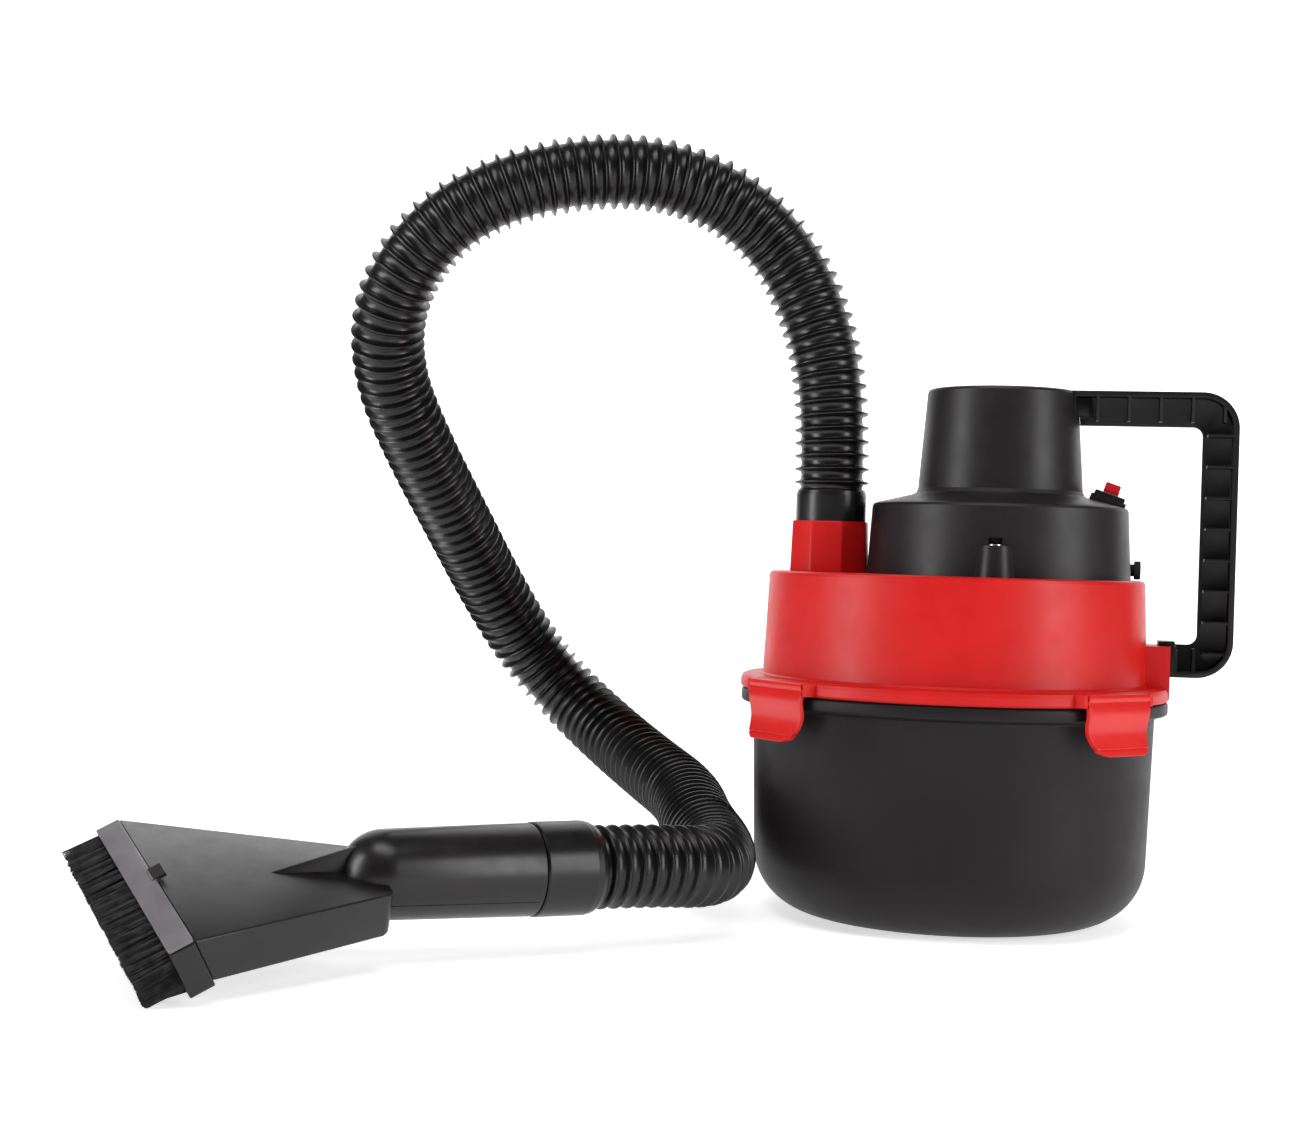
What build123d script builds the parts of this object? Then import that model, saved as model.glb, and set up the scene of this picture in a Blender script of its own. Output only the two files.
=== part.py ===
from build123d import *
import math
import os

# A small 12 V wet and dry canister vacuum for cars: a moulded tank, a latched lid that
# carries the motor and fan, a carrying handle, and a corrugated hose with a brush nozzle.
# Millimetres, +Z up.  The origin is the centre of the tank's base, on the tank's axis.
# +X points to the handle, and -Y is the front.

os.makedirs("parts", exist_ok=True)

# ---- driving dimensions ------------------------------------------------------
WALL = 2.2                      # moulded wall of the tank, lid and housing
FIT = 0.05                      # radial clearance of a running shaft
GAP = 0.3                       # air gap between parts that move past each other

TANK_FOOT_R = 56.0              # flat part of the base
TANK_CORNER_R = 26.5            # fillet between base and wall
TANK_TOP_R = 84.4               # wall radius below the rim
RIM_R = 89.6                    # rolled rim of the tank
RIM_Z = 88.4                    # underside of the rim
RIM_TOP_Z = 93.7

FLANGE_R = 90.0                 # lid flange
FLANGE_Z = 94.2                 # underside of the flange
FLANGE_TOP_Z = 100.0
LID_LOW_R = 80.8                # lid wall just above the flange
LID_TOP_R = 79.1
LID_Z = 143.9                   # top face of the lid

COLLAR_X = -54.0                # hose collar
COLLAR_TOP_Z = 165.6
COLLAR_APOTHEM = 16.2           # octagon at the lid, across the flats / 2
COLLAR_TAPER = 1.6              # degrees
COLLAR_BORE_R = 14.5

MOTOR_X = 17.7                  # the motor stands beside the tank's axis
HOUSE_LOW_R = 55.3              # lower, fan part of the motor housing
HOUSE_EDGE_R = 53.6
HOUSE_EDGE_Z = 174.1
HOUSE_NECK_R = 34.7             # upper, motor part
HOUSE_TOP_R = 31.4
HOUSE_TOP_Z = 222.8
SHOULDER_RISE = 4.4             # height of the sloping shoulder

LATCH_ANGLE = 47.0              # latches stand this far either side of front and rear
LATCH_HALF_W = 17.6             # of the tab; an ear stands at each side
EAR_T = 2.0
HINGE_R = 90.5                  # latch hinge pin, from the tank's axis
HINGE_Z = 97.4
BARREL_R = 2.15
LATCH_PIN_R = 0.9

HANDLE_OUT_X = 114.5
HANDLE_BAR = 13.5
HANDLE_LOW_Z = 104.6
HANDLE_DEPTH = 22.0
BRACKET_X = 89.4                # face of the handle bracket on the lid

HOSE_R = 16.0                   # over the ribs
HOSE_BORE_R = 14.7
HOSE_START_Z = 179.5

# Route of the hose, chosen by hand: up out of the lid, over an arch, down and back
# beside the tank, then round in front to the nozzle.
HOSE_ROUTE = [
    (-54, 0, 179.5), (-54, 0, 214), (-61, 2, 250), (-76, 3, 281), (-99, -6, 303),
    (-129, -20, 313), (-163, -34, 311), (-198, -45, 300), (-226, -48, 280), (-243, -42, 252),
    (-247, -24, 223), (-240, 2, 193), (-231, 34, 162), (-222, 65, 131), (-209, 85, 103),
    (-189, 90, 80), (-164, 77, 62), (-139, 49, 50), (-115, 12, 42), (-104, -26, 35),
    (-89, -63, 29), (-87, -91, 27), (-107.6, -112.9, 29.9), (-127.2, -128.4, 30.2)]

NOZZLE_TIP = (-199.3, -185.5, 31.4)          # end of the grip tube's dome, on its axis
NOZZLE_X = (-0.784, -0.621, 0.013)           # along the tube, towards the bristles
NOZZLE_UP = (0.153, -0.172, 0.973)
CUFF_S = 92.0                   # distance from the dome to the hose end of the cuff
SEAM_S = 66.0                   # joint between the cuff and the grip tube
TUBE_END_R = 17.3
TUBE_DOME_R = 16.4
DOME_S = -8.5                   # centre of the dome, along the axis
FAN_TOP_Z = 2.2                 # flat fan of the nozzle, from the tube's axis
FAN_LOW_Z = -13.6
FAN_REAR_X = -5.0
FAN_WIDE_X = 73.0               # where the fan is as wide as the brush
FAN_REAR_HALF = 22.4
BRUSH_TILT = 28.7               # the brush frame leans down from the nozzle
BRUSH_W = 110.6
BRUSH_H = 19.1
BRUSH_D = 8.9
BRUSH_AT = (74.3, -7.7)         # centre of the frame, along and above the tube axis
BRISTLE_L = 14.4


def save(shape, node):
    export_step(shape, f"parts/{node}.step")
    print(f"{node:20s} {shape.volume / 1000:9.3f} cm3")


def spun(points, centre_x=0.0):
    """Solid of revolution about a vertical axis from (radius, height) points."""
    face = make_face(Polyline(*[(r, 0, z) for r, z in points], close=True))
    return Pos(centre_x, 0, 0) * revolve(face, Axis.Z)


def disc(r, z0, z1, x=0.0, y=0.0):
    """Upright cylinder between two heights."""
    return Pos(x, y, (z0 + z1) / 2) * Cylinder(r, z1 - z0)


def ring(r_out, r_in, z0, z1, x=0.0, y=0.0):
    return disc(r_out, z0, z1, x, y) - disc(r_in, z0 - 1, z1 + 1, x, y)


def block(x0, x1, y0, y1, z0, z1):
    return Pos((x0 + x1) / 2, (y0 + y1) / 2, (z0 + z1) / 2) * Box(x1 - x0, y1 - y0, z1 - z0)


def joined(shapes):
    total = shapes[0]
    for shape in shapes[1:]:
        total = total + shape
    return total


def group(shapes):
    return Compound(children=list(shapes))


# ---- tank ------------------------------------------------------------------
def tank():
    """Round bucket with a large corner fillet, a rolled rim and a grooved foot."""
    wall_low = TANK_FOOT_R + TANK_CORNER_R
    inner_corner = TANK_CORNER_R - WALL
    with BuildPart() as body:
        with BuildSketch(Plane.XZ):
            with BuildLine():
                Line((0, 0), (TANK_FOOT_R, 0))
                RadiusArc((TANK_FOOT_R, 0), (wall_low, TANK_CORNER_R), -TANK_CORNER_R)
                Line((wall_low, TANK_CORNER_R), (TANK_TOP_R, RIM_Z - 2.0))
                Line((TANK_TOP_R, RIM_Z - 2.0), (RIM_R - 1.0, RIM_Z))
                Line((RIM_R - 1.0, RIM_Z), (RIM_R, RIM_Z + 1.0))
                Line((RIM_R, RIM_Z + 1.0), (RIM_R, RIM_TOP_Z - 1.0))
                Line((RIM_R, RIM_TOP_Z - 1.0), (RIM_R - 1.0, RIM_TOP_Z))
                Line((RIM_R - 1.0, RIM_TOP_Z), (TANK_TOP_R - WALL, RIM_TOP_Z))
                Line((TANK_TOP_R - WALL, RIM_TOP_Z), (wall_low - WALL, TANK_CORNER_R))
                RadiusArc((wall_low - WALL, TANK_CORNER_R), (TANK_FOOT_R, WALL), inner_corner)
                Line((TANK_FOOT_R, WALL), (0, WALL))
                Line((0, WALL), (0, 0))
            make_face()
        revolve(axis=Axis.Z)
    groove = ring(46, 34, -1, 0.8)
    return body.part - groove


# ---- lid -------------------------------------------------------------------
def lid_shell():
    inner = WALL
    skirt_out = TANK_TOP_R - WALL - 0.4
    outline = [
        (0, LID_Z), (LID_TOP_R - 1.6, LID_Z), (LID_TOP_R - 0.4, LID_Z - 0.5),
        (LID_TOP_R, LID_Z - 1.7), (LID_LOW_R, FLANGE_TOP_Z + 0.8),
        (LID_LOW_R + 0.9, FLANGE_TOP_Z), (FLANGE_R - 2.2, FLANGE_TOP_Z),
        (FLANGE_R - 0.7, FLANGE_TOP_Z - 0.6), (FLANGE_R, FLANGE_TOP_Z - 2.2),
        (FLANGE_R, FLANGE_Z + 0.8), (FLANGE_R - 0.8, FLANGE_Z), (skirt_out, FLANGE_Z),
        (skirt_out, FLANGE_Z - 6.5), (skirt_out - 2.0, FLANGE_Z - 6.5),
        (LID_LOW_R - inner, FLANGE_TOP_Z), (LID_TOP_R - inner, LID_Z - inner), (0, LID_Z - inner)]
    return spun(outline)


def latch_frames():
    """Local planes of the four latches: x across the latch, z up, y outwards."""
    frames = {}
    for name, angle in (("front_left", -90 - LATCH_ANGLE), ("front_right", -90 + LATCH_ANGLE),
                        ("rear_right", 90 - LATCH_ANGLE), ("rear_left", 90 + LATCH_ANGLE)):
        a = math.radians(angle)
        across = Vector(math.sin(a), -math.cos(a), 0)
        frames[name] = Location(Plane(origin=(0, 0, 0), x_dir=across, z_dir=(0, 0, 1)))
    return frames


def lid():
    shell = lid_shell()
    octagon = RegularPolygon(radius=COLLAR_APOTHEM, side_count=8, major_radius=False, rotation=22.5)
    collar = extrude(Pos(COLLAR_X, 0, LID_Z - WALL) * octagon, amount=COLLAR_TOP_Z - LID_Z + WALL,
                     taper=COLLAR_TAPER)
    spigot = disc(COLLAR_BORE_R + 2.0, LID_Z - 14, LID_Z - 1, COLLAR_X)
    bracket = block(70, BRACKET_X, -13, 13, FLANGE_Z + 1.5, 117.2) - disc(LID_LOW_R - WALL - 0.3, 90, 140)
    eye_lip = ring(30, 26, LID_Z - 9, LID_Z - 1, MOTOR_X)
    body = joined([shell, collar, spigot, bracket, eye_lip])
    body -= disc(COLLAR_BORE_R, LID_Z - 20, COLLAR_TOP_Z + 1, COLLAR_X)
    body -= disc(26, LID_Z - 10, LID_Z + 1, MOTOR_X)
    # pocket for the handle's lower tongue
    body -= block(84.2, BRACKET_X + 1, -10.2, 10.2, 106.0, 116.0)
    body -= Pos(80, 0, 111) * Rot(0, 90, 0) * Cylinder(1.45, 12)
    # latch hinges: two ears and a scooped edge for the barrel at each latch
    for frame in latch_frames().values():
        gap_half = LATCH_HALF_W + GAP
        scoop = Pos(0, HINGE_R, HINGE_Z) * Rot(0, 90, 0) * Cylinder(BARREL_R + GAP, 2 * gap_half)
        shelf = block(-gap_half, gap_half, HINGE_R - 1.2, HINGE_R + 4, FLANGE_Z - 1, HINGE_Z)
        ears = [block(x - EAR_T / 2, x + EAR_T / 2, 84, HINGE_R + 1.9, FLANGE_Z + 0.3, FLANGE_TOP_Z - 0.4)
                for x in (-gap_half - EAR_T / 2, gap_half + EAR_T / 2)]
        body = body + frame * joined(ears)
        body -= frame * (scoop + shelf)
        body -= frame * (Pos(0, HINGE_R, HINGE_Z) * Rot(0, 90, 0) * Cylinder(LATCH_PIN_R, 2 * gap_half + 2.6))
    # spoked eye under the fan
    spokes = joined([Pos(MOTOR_X, 0, LID_Z - 7.5) * Rot(0, 0, a) * Box(52.5, 1.8, 3.0)
                     for a in (0, 60, 120)])
    body += spokes + disc(5, LID_Z - 9, LID_Z - 6, MOTOR_X)
    # screw holes for the three housing columns
    for x, y in column_places():
        body -= disc(1.6, LID_Z - WALL - 8, LID_Z + 1, x, y)
        body += ring(3.6, 1.6, LID_Z - 9, LID_Z - WALL + 0.2, x, y)
    return body


def lid_seal():
    return ring(87.6, 83.2, RIM_TOP_Z, FLANGE_Z)


# ---- latches -----------------------------------------------------------------
def latch():
    """Flat finger tab: hinge barrel, bulged face, a waist under the rim and a flared lip."""
    outer = [(92.7, 97.6), (91.7, 94.6), (92.7, 91.2), (92.6, 87.6), (91.2, 83.2), (91.8, 79.8), (93.9, 75.9)]
    inner = [(92.2, 75.6), (90.0, 79.6), (89.2, 83.2), (90.3, 87.4), (90.5, 91.2), (89.9, 94.6), (89.6, 97.0)]
    with BuildPart() as tab:
        with BuildSketch(Plane.YZ):
            with BuildLine():
                Spline(*outer)
                Line(outer[-1], inner[0])
                Spline(*inner)
                Line(inner[-1], outer[0])
            make_face()
        extrude(amount=LATCH_HALF_W, both=True)
    low = 75.0
    half = LATCH_HALF_W
    front = Plane.XZ * Polygon((-half, 101), (half, 101), (half, 90), (half - 5.0, low), (-half + 5.0, low),
                               (-half, 90), align=None)
    front = fillet(front.vertices().sort_by(Axis.Z)[0:2], 9.0)
    outline = extrude(front, amount=120, both=True)
    body = tab.part & outline
    body += Pos(0, HINGE_R, HINGE_Z) * Rot(0, 90, 0) * Cylinder(BARREL_R, 2 * half)
    webs = joined([block(x - 0.9, x + 0.9, 89.2, 91.4, 84.6, 96.5) for x in (-half + 0.9, half - 0.9)])
    body += webs - disc(RIM_R + GAP + 0.05, 80, 99)
    body -= Pos(0, 92.9, 78.2) * Rot(0, 90, 0) * Cylinder(0.45, 2 * half - 12)
    body -= Pos(0, HINGE_R, HINGE_Z) * Rot(0, 90, 0) * Cylinder(LATCH_PIN_R + FIT, 60)
    body -= disc(RIM_R + GAP, RIM_Z - 0.6, RIM_TOP_Z + 0.4)
    return body


def latch_pins():
    pin = Pos(0, HINGE_R, HINGE_Z) * Rot(0, 90, 0) * Cylinder(LATCH_PIN_R, 2 * (LATCH_HALF_W + GAP) + 2.4)
    return group([frame * pin for frame in latch_frames().values()])


# ---- motor housing -----------------------------------------------------------
def column_places():
    """Centres of the three screw columns round the fan housing."""
    places = []
    for angle in (-90, 30, 150):
        a = math.radians(angle)
        places.append((MOTOR_X + 53.5 * math.cos(a), 53.5 * math.sin(a)))
    return places


def house_outer(grow=0.0):
    neck_z = HOUSE_EDGE_Z + SHOULDER_RISE
    return [
        (0, LID_Z), (HOUSE_LOW_R + grow, LID_Z), (HOUSE_EDGE_R + 0.1 + grow, HOUSE_EDGE_Z - 1.4),
        (HOUSE_EDGE_R - 0.4 + grow, HOUSE_EDGE_Z - 0.4), (HOUSE_EDGE_R - 1.6, HOUSE_EDGE_Z + 0.2 + grow),
        (HOUSE_NECK_R + 2.0, neck_z - 0.4 + grow), (HOUSE_NECK_R + 0.6 + grow, neck_z + 0.4),
        (HOUSE_NECK_R - 0.1 + grow, neck_z + 2.0), (HOUSE_TOP_R + 0.1 + grow, HOUSE_TOP_Z - 1.3),
        (HOUSE_TOP_R - 0.4 + grow, HOUSE_TOP_Z - 0.4), (HOUSE_TOP_R - 1.3, HOUSE_TOP_Z + grow),
        (0, HOUSE_TOP_Z + grow)]


SWITCH_X = 62.8                 # centre of the switch on the shoulder
SWITCH_Z = 178.0
SWITCH_LEAN = 19.0              # degrees, the shoulder falls away from the motor


def switch_place():
    return Pos(SWITCH_X, 0, SWITCH_Z) * Rot(0, SWITCH_LEAN, 0)


def motor_housing():
    neck_z = HOUSE_EDGE_Z + SHOULDER_RISE
    body = spun(house_outer(), MOTOR_X)
    # seat for the switch, level with its bezel
    seat = switch_place() * (Pos(0, 0, -4) * Box(15, 21, 8))
    body += seat & disc(HOUSE_EDGE_R - 0.3, LID_Z + 20, 190, MOTOR_X)
    for x, y in column_places():
        column = Pos(x, y, LID_Z) * extrude(Circle(8.2), amount=12.7, taper=7.0)
        body += column
    hollow = [
        (0, LID_Z - 1), (HOUSE_LOW_R - WALL, LID_Z - 1), (HOUSE_EDGE_R - WALL, HOUSE_EDGE_Z - WALL),
        (HOUSE_NECK_R - WALL, neck_z - WALL), (HOUSE_TOP_R - WALL, HOUSE_TOP_Z - WALL),
        (0, HOUSE_TOP_Z - WALL)]
    body -= spun(hollow, MOTOR_X)
    for x, y in column_places():
        body += disc(4.8, LID_Z, LID_Z + 18.5, x, y) & spun(house_outer(-0.3), MOTOR_X)
        body -= disc(1.6, LID_Z - 1, LID_Z + 16, x, y)
        body -= disc(2.9, LID_Z + 11.4, LID_Z + 16, x, y)
    body -= switch_place() * (Pos(0, 0, -4) * Box(9.2, 15.2, 22))
    # exhaust louvres at the rear of the fan chamber
    for k in range(-4, 5):
        slot = Rot(0, 0, 90 + k * 6.5) * (Pos(HOUSE_LOW_R - 1, 0, LID_Z + 12) * Box(9, 2.6, 13))
        body -= Pos(MOTOR_X, 0, 0) * slot
    # cooling slots round the motor, high at the rear
    for k in range(-3, 4):
        slot = Rot(0, 0, 90 + k * 13) * (Pos(HOUSE_TOP_R, 0, HOUSE_TOP_Z - 13) * Box(9, 2.4, 11))
        body -= Pos(MOTOR_X, 0, 0) * slot
    # slot for the handle's upper tongue, and the cord outlet low on the handle side
    body -= block(MOTOR_X + 26, 60, -6.1, 6.1, 212.4, 219.9)
    body -= Pos(74, 9, LID_Z + 4.4) * Rot(0, 90, 0) * Cylinder(2.6, 14)
    # three ledges inside hold the motor plate
    for angle in (90, 210, 330):
        ledge = block(46.5, 52.3, -4, 4, PLATE_Z + PLATE_T, PLATE_Z + PLATE_T + 4)
        hole = disc(1.3, PLATE_Z, PLATE_Z + PLATE_T + 3.4, 49)
        body += Pos(MOTOR_X, 0, 0) * Rot(0, 0, angle) * ledge
        body -= Pos(MOTOR_X, 0, 0) * Rot(0, 0, angle) * hole
    return body


def housing_screws():
    """Pan head screws down the three columns."""
    screws = []
    for x, y in column_places():
        shank = disc(1.5, LID_Z - 8, LID_Z + 11.6, x, y)
        head = disc(2.7, LID_Z + 11.5, LID_Z + 13.3, x, y)
        drive = Pos(x, y, LID_Z + 13.1) * (Box(3.2, 0.7, 0.8) + Box(0.7, 3.2, 0.8))
        screws.append(shank + head - drive)
    return group(screws)


# ---- handle ----------------------------------------------------------------
def handle_outline(inset_out, inset_in):
    """D-shaped band, open towards the housing; the insets leave rims at its edges."""
    x1 = HANDLE_OUT_X - inset_out
    top = HOUSE_TOP_Z - 0.1 - inset_out
    low = HANDLE_LOW_Z + inset_out
    xi = HANDLE_OUT_X - HANDLE_BAR + inset_in
    top_in = HOUSE_TOP_Z - 0.1 - HANDLE_BAR + inset_in
    low_in = HANDLE_LOW_Z + HANDLE_BAR - 0.6 - inset_in
    start = MOTOR_X + 28 + inset_out
    foot = BRACKET_X + 0.1 + inset_out
    r_out = 15.0 - inset_out
    r_in = 4.5 + inset_in
    with BuildSketch(Plane.XZ) as band:
        with BuildLine():
            FilletPolyline((start, top), (x1, top), (x1, low), (foot, low), radius=r_out)
            Line((foot, low), (foot, low_in))
            FilletPolyline((foot, low_in), (xi, low_in), (xi, top_in), (start, top_in), radius=r_in)
            Line((start, top_in), (start, top))
        make_face()
    return band.sketch


def handle():
    """Moulded carrying handle: a middle web, edge rims and cross ribs, open at both sides."""
    body = extrude(handle_outline(0, 0), amount=HANDLE_DEPTH / 2, both=True)
    pocket = extrude(handle_outline(2.3, -1.9), amount=HANDLE_DEPTH, both=True)
    web = extrude(handle_outline(0.5, -0.5), amount=1.3, both=True)
    pitch = 12.9
    ribs = []
    for k in range(5):
        x = 56.5 + k * pitch
        ribs.append(block(x, x + 1.2, -10.2, 10.2, HOUSE_TOP_Z - 12.5, HOUSE_TOP_Z - 1))
    for k in range(8):
        z = 114.0 + k * pitch
        ribs.append(block(HANDLE_OUT_X - 12.5, HANDLE_OUT_X - 1, -10.2, 10.2, z, z + 1.2))
    ribs.append(block(98.2, 99.4, -10.2, 10.2, HANDLE_LOW_Z + 1, HANDLE_LOW_Z + 12))
    inside = extrude(handle_outline(0.6, -0.6), amount=HANDLE_DEPTH / 2, both=True)
    body = body - pocket + web + (joined(ribs) & inside)
    body -= spun(house_outer(0.12), MOTOR_X)
    # upper tongue through the housing wall, lower tongue and hook at the lid bracket
    body += block(MOTOR_X + 27, MOTOR_X + 36, -6, 6, 212.5, 219.8)
    body += block(84.4, BRACKET_X + 3, -10, 10, 106.2, 115.8)
    body += block(84.8, BRACKET_X + 2, -8, 8, 117.3, 119.2)
    body -= Pos(MOTOR_X + 28, 0, 216) * Rot(0, 90, 0) * Cylinder(1.45, 8)
    body -= Pos(86, 0, 111) * Rot(0, 90, 0) * Cylinder(1.45, 5)
    return body


def handle_screws():
    upper = Pos(MOTOR_X + 28, 0, 216) * Rot(0, 90, 0) * Cylinder(1.4, 5.6)
    upper += Pos(MOTOR_X + 25.6, 0, 216) * Rot(0, 90, 0) * Cylinder(2.8, 1.8)
    lower = Pos(82.6, 0, 111) * Rot(0, 90, 0) * Cylinder(1.4, 9.6)
    lower += Pos(77.2, 0, 111) * Rot(0, 90, 0) * Cylinder(2.8, 1.6)
    return group([upper, lower])


# ---- fan and motor -------------------------------------------------------------
FAN_Z = 146.6                   # lower edge of the blades
FAN_R = 43.0
PLATE_Z = 163.0                 # plate that carries the motor
PLATE_T = 2.5
CAN_Z = 165.5
CAN_TOP_Z = 207.0
CAN_R = 25.0
SHAFT_R = 1.6


def motor_mount_plate():
    body = ring(HOUSE_EDGE_R - WALL - 0.6, 8.0, PLATE_Z, PLATE_Z + PLATE_T, MOTOR_X)
    for angle in (0, 120, 240):
        a = math.radians(angle)
        body -= disc(1.5, PLATE_Z - 1, PLATE_Z + 5, MOTOR_X + 16 * math.cos(a), 16 * math.sin(a))
    for angle in (90, 210, 330):
        a = math.radians(angle)
        body -= disc(1.3, PLATE_Z - 1, PLATE_Z + 5, MOTOR_X + 49 * math.cos(a), 49 * math.sin(a))
    # notch that lets cooling air and the leads past
    body -= block(MOTOR_X + 30, MOTOR_X + 60, -9, 9, PLATE_Z - 1, PLATE_Z + 5)
    return body


def plate_screws():
    screws = []
    for angle in (90, 210, 330):
        a = math.radians(angle)
        x = MOTOR_X + 49 * math.cos(a)
        y = 49 * math.sin(a)
        screws.append(disc(1.25, PLATE_Z, PLATE_Z + 5.4, x, y) + disc(2.4, PLATE_Z - 1.4, PLATE_Z, x, y))
    return group(screws)


def motor_can():
    body = disc(CAN_R, CAN_Z, CAN_TOP_Z, MOTOR_X) - disc(CAN_R - 1.5, CAN_Z + 1.5, CAN_TOP_Z + 1, MOTOR_X)
    body += disc(6.5, CAN_Z - 2.4, CAN_Z + 1.5, MOTOR_X)
    body -= disc(4.0, CAN_Z - 3, CAN_Z + 8, MOTOR_X)
    for angle in (0, 120, 240):
        a = math.radians(angle)
        body -= disc(1.25, CAN_Z - 1, CAN_Z + 2, MOTOR_X + 16 * math.cos(a), 16 * math.sin(a))
    return body


def motor_screws():
    screws = []
    for angle in (0, 120, 240):
        a = math.radians(angle)
        x = MOTOR_X + 16 * math.cos(a)
        y = 16 * math.sin(a)
        screws.append(disc(1.2, PLATE_Z - 0.2, CAN_Z + 1.5, x, y) + disc(2.3, PLATE_Z - 1.6, PLATE_Z - 0.1, x, y))
    return group(screws)


def motor_end_cap():
    body = disc(CAN_R, CAN_TOP_Z, CAN_TOP_Z + 5, MOTOR_X) - disc(CAN_R - 3, CAN_TOP_Z - 1, CAN_TOP_Z + 3, MOTOR_X)
    body += disc(6.0, CAN_TOP_Z + 1, CAN_TOP_Z + 8.5, MOTOR_X)
    body -= disc(4.0, CAN_TOP_Z - 3, CAN_TOP_Z + 7.0, MOTOR_X)
    for y in (-14, 14):
        body -= disc(2.2, CAN_TOP_Z, CAN_TOP_Z + 8, MOTOR_X, y)
    return body


def motor_magnets():
    """Two curved ferrite magnets on the inside of the can."""
    shell = ring(CAN_R - 1.55, CAN_R - 6.0, CAN_Z + 8, CAN_TOP_Z - 8, MOTOR_X)
    wide = block(MOTOR_X - 40, MOTOR_X + 40, -9, 9, CAN_Z, CAN_TOP_Z)
    cut = shell - wide
    return group(cut.solids())


def lower_bush():
    return ring(3.95, SHAFT_R + FIT, CAN_Z - 2.2, CAN_Z + 5, MOTOR_X)


def upper_bush():
    return ring(3.95, SHAFT_R + FIT, CAN_TOP_Z + 1.2, CAN_TOP_Z + 6.6, MOTOR_X)


def motor_shaft():
    return disc(SHAFT_R, FAN_Z - 3.2, CAN_TOP_Z + 6.4, MOTOR_X)


def armature_core():
    """Slotted laminated core."""
    z0 = CAN_Z + 11
    z1 = CAN_TOP_Z - 14
    body = ring(18.4, SHAFT_R, z0, z1, MOTOR_X)
    for k in range(5):
        slot = Rot(0, 0, 36 + 72 * k) * (Pos(13.5, 0, (z0 + z1) / 2) * Box(8.0, 4.4, 60))
        mouth = Rot(0, 0, 36 + 72 * k) * (Pos(18, 0, (z0 + z1) / 2) * Box(4.0, 1.4, 60))
        body -= Pos(MOTOR_X, 0, 0) * (slot + mouth)
    return body


def armature_windings():
    """Wound coils, standing proud of the core at both ends."""
    z0 = CAN_Z + 11
    z1 = CAN_TOP_Z - 14
    coils = []
    for k in range(5):
        filler = Pos(13.2, 0, (z0 + z1) / 2) * Box(7.2, 4.0, z1 - z0 + 2)
        coils.append(Pos(MOTOR_X, 0, 0) * Rot(0, 0, 36 + 72 * k) * filler)
    ends = [ring(16.8, 6.0, z0 - 3.6, z0 - 0.05, MOTOR_X), ring(16.8, 6.0, z1 + 0.05, z1 + 3.6, MOTOR_X)]
    return joined(ends + coils)


def commutator():
    z0 = CAN_TOP_Z - 9.4
    body = ring(5.2, SHAFT_R, z0, z0 + 9.0, MOTOR_X)
    for k in range(5):
        cut = Rot(0, 0, 72 * k) * (Pos(5.0, 0, z0 + 5.5) * Box(1.6, 0.5, 9))
        body -= Pos(MOTOR_X, 0, 0) * cut
    return body


def carbon_brushes():
    z = CAN_TOP_Z - 4.8
    return group([block(MOTOR_X + s * 9.6 - 4.0, MOTOR_X + s * 9.6 + 4.0, -2, 2, z - 2, z + 2) for s in (-1, 1)])


def brush_holders():
    z = CAN_TOP_Z - 4.8
    holders = []
    for s in (-1, 1):
        outer = block(MOTOR_X + s * 13.5 - 6.0, MOTOR_X + s * 13.5 + 6.0, -3, 3, z - 3, z + 3)
        bore = Pos(MOTOR_X + s * 9, 0, z) * Box(16, 4.1, 4.1)
        holders.append(outer - bore + block(MOTOR_X + s * 18 - 1.5, MOTOR_X + s * 18 + 1.5, -3, 3, z - 3, z + 5.3))
    return group(holders)


def impeller():
    """Back plate, hub and eight swept blades, open towards the eye."""
    back = ring(FAN_R, SHAFT_R, FAN_Z + 12.4, FAN_Z + 14.0, MOTOR_X)
    hub = ring(6.0, SHAFT_R, FAN_Z + 1.0, FAN_Z + 13, MOTOR_X)
    with BuildSketch() as blade_face:
        with BuildLine():
            outer = ThreePointArc((5.5, 0), (26, 10.5), (FAN_R - 0.6, 0))
            inner = ThreePointArc((5.5, -1.4), (26, 9.0), (FAN_R - 0.6, -1.5))
            Line(outer @ 0, inner @ 0)
            Line(outer @ 1, inner @ 1)
        make_face()
    blade = Pos(0, 0, FAN_Z) * extrude(blade_face.sketch, amount=12.6)
    blades = [Pos(MOTOR_X, 0, 0) * Rot(0, 0, 45 * k) * blade for k in range(8)]
    bore = disc(SHAFT_R, FAN_Z - 5, FAN_Z + 20, MOTOR_X)
    return joined([back, hub] + blades) - bore


def impeller_nut():
    washer = ring(4.6, SHAFT_R, FAN_Z + 0.2, FAN_Z + 1.0, MOTOR_X)
    hexagon = Pos(MOTOR_X, 0, FAN_Z - 2.2) * extrude(RegularPolygon(3.0, 6), amount=2.4)
    return washer + (hexagon - disc(SHAFT_R, FAN_Z - 5, FAN_Z + 5, MOTOR_X))


# ---- switch, leads and grommet ----------------------------------------------------


def switch_bezel():
    frame = Pos(0, 0, 1.0) * Box(13, 19, 2.0)
    frame = fillet(frame.edges().group_by(Axis.Z)[-1], 0.8)
    barrel = Pos(0, 0, -3.95) * Box(8.9, 14.9, 8.1)
    body = frame + barrel
    body -= Pos(0, 0, -0.8) * Box(7.0, 13.8, 10.0)
    return switch_place() * body


def switch_rocker():
    """Rocker on a radial pivot, its far half raised at rest."""
    cap = Pos(0, 0, 1.0) * Box(6.5, 12.6, 4.6)
    hump = Pos(0, 3.4, 4.4) * Box(6.5, 5.6, 3.6)
    hump = fillet(hump.edges().group_by(Axis.Z)[-1], 0.7)
    shape = cap + hump
    shape &= Rot(0, 90, 0) * Cylinder(6.55, 20) + Pos(0, 0, 5) * Box(20, 11.8, 10)
    return switch_place() * (Pos(0, 0, 0.6) * shape)


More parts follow.
